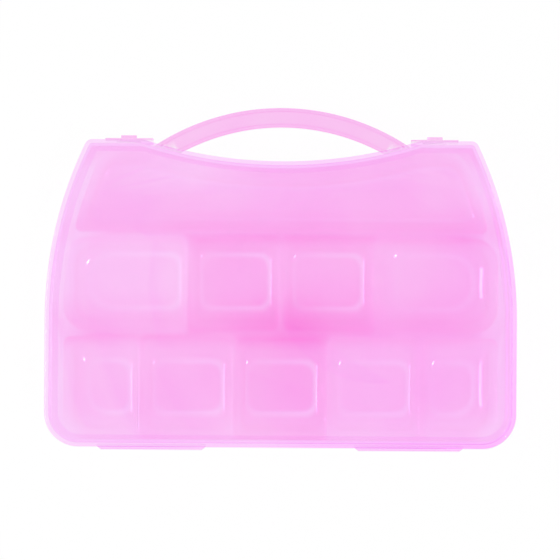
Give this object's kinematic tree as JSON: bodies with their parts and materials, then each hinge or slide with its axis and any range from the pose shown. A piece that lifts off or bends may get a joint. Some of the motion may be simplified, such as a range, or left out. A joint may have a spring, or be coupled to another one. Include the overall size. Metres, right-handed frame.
{
  "type": "compartment organizer case",
  "caption": "Shallow translucent case with fixed compartments under a hinged lid, two snap latches and an arched carry handle.",
  "frame": {"origin": "middle of the underside's bounding box, the case lying on its back panel", "axes": "+X across the case, +Y from the hinge edge to the carry handle, +Z from the back panel up to the lid"},
  "size_m": [0.27, 0.1962, 0.042],
  "materials": {
    "case_plastic": "translucent pink moulded polypropylene, smooth",
    "tray_plastic": "translucent pink moulded polypropylene, faintly frosted",
    "lid_plastic": "translucent pink moulded polypropylene, glossy",
    "handle_plastic": "translucent pale pink moulded polypropylene, satin",
    "latch_plastic": "translucent pale pink moulded polypropylene, satin"
  },
  "bodies": {
    "case_base": {"base_shell": "case_plastic", "compartment_tray": "tray_plastic", "carry_handle": "handle_plastic", "base_hinge_leaf_left": "case_plastic", "base_hinge_leaf_right": "case_plastic"},
    "case_lid": {"lid": "lid_plastic", "lid_hinge_leaf_left": "lid_plastic", "lid_hinge_leaf_right": "lid_plastic"},
    "latch_left": {"latch_left": "latch_plastic"},
    "latch_right": {"latch_right": "latch_plastic"}
  },
  "joints": [
    {"name": "lid_hinge", "type": "hinge", "parent": "case_base", "child": "case_lid", "pos_m": [0, -0.09828, 0.035], "axis": [1, 0, 0], "range_deg": [0, 180]},
    {"name": "latch_left_hinge", "type": "hinge", "parent": "case_base", "child": "latch_left", "pos_m": [-0.0875, 0.08002, 0.022], "axis": [-1, 0, 0], "range_deg": [0, 110]},
    {"name": "latch_right_hinge", "type": "hinge", "parent": "case_base", "child": "latch_right", "pos_m": [0.0875, 0.08002, 0.022], "axis": [-1, 0, 0], "range_deg": [0, 110]}
  ]
}
